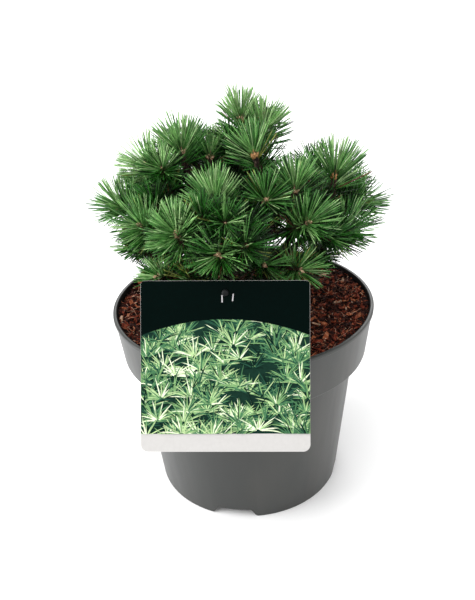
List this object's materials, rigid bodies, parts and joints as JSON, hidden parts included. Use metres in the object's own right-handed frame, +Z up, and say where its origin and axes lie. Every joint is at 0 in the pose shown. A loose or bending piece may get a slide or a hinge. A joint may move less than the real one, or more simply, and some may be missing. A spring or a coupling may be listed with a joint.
{
  "type": "potted mugo pine",
  "caption": "Young dwarf mountain pine, a dense dome of short needled shoots on a low branching stem, standing in its round plastic nursery pot with a plain plant label leaning on the front.",
  "frame": {"origin": "centre of the pot's flat underside, on the surface that the pot stands on", "axes": "+Z up along the pot's axis; the front, where the label leans, faces -Y; +X is to the right as seen from the front"},
  "size_m": [0.2073, 0.2222, 0.2966],
  "materials": {
    "pot": "satin grey-green moulded plastic",
    "soil": "loose reddish brown bark and fibre",
    "label": null,
    "peg": "smooth black",
    "bark": "rough scaly bark",
    "twig_bark": "rough with old bud scales",
    "needles": "waxy needles, bright to dark green"
  },
  "bodies": {
    "root": {"pot": "pot", "soil": "soil", "label": "label", "label_peg": "peg", "trunk": "bark", "bough_top_right": "twig_bark", "bough_top_front": "twig_bark", "bough_top_left": "twig_bark", "bough_left_upper": "twig_bark", "bough_left_middle": "twig_bark", "bough_left_outer": "twig_bark", "bough_left_front": "twig_bark", "bough_left_lower": "twig_bark", "bough_bottom_left": "twig_bark", "bough_front_left": "twig_bark", "bough_front_middle": "twig_bark", "bough_front_low": "twig_bark", "bough_centre_star": "twig_bark", "bough_centre_low": "twig_bark", "bough_right_middle": "twig_bark", "bough_right_upper": "twig_bark", "bough_right_star": "twig_bark", "bough_right_lower": "twig_bark", "bough_right_outer": "twig_bark", "bough_bottom_right": "twig_bark", "bough_back_top": "twig_bark", "bough_back_left_upper": "twig_bark", "bough_back_left": "twig_bark", "bough_back_left_lower": "twig_bark", "bough_back_lower": "twig_bark", "bough_back_right": "twig_bark", "bough_back_right_upper": "twig_bark", "needles_leader": "needles", "needles_top_right": "needles", "needles_top_front": "needles", "needles_top_left": "needles", "needles_left_upper": "needles", "needles_left_middle": "needles", "needles_left_outer": "needles", "needles_left_front": "needles", "needles_left_lower": "needles", "needles_bottom_left": "needles", "needles_front_left": "needles", "needles_front_middle": "needles", "needles_front_low": "needles", "needles_centre_star": "needles", "needles_centre_low": "needles", "needles_right_middle": "needles", "needles_right_upper": "needles", "needles_right_star": "needles", "needles_right_lower": "needles", "needles_right_outer": "needles", "needles_bottom_right": "needles", "needles_back_top": "needles", "needles_back_left_upper": "needles", "needles_back_left": "needles", "needles_back_left_lower": "needles", "needles_back_lower": "needles", "needles_back_right": "needles", "needles_back_right_upper": "needles"}
  },
  "joints": []
}
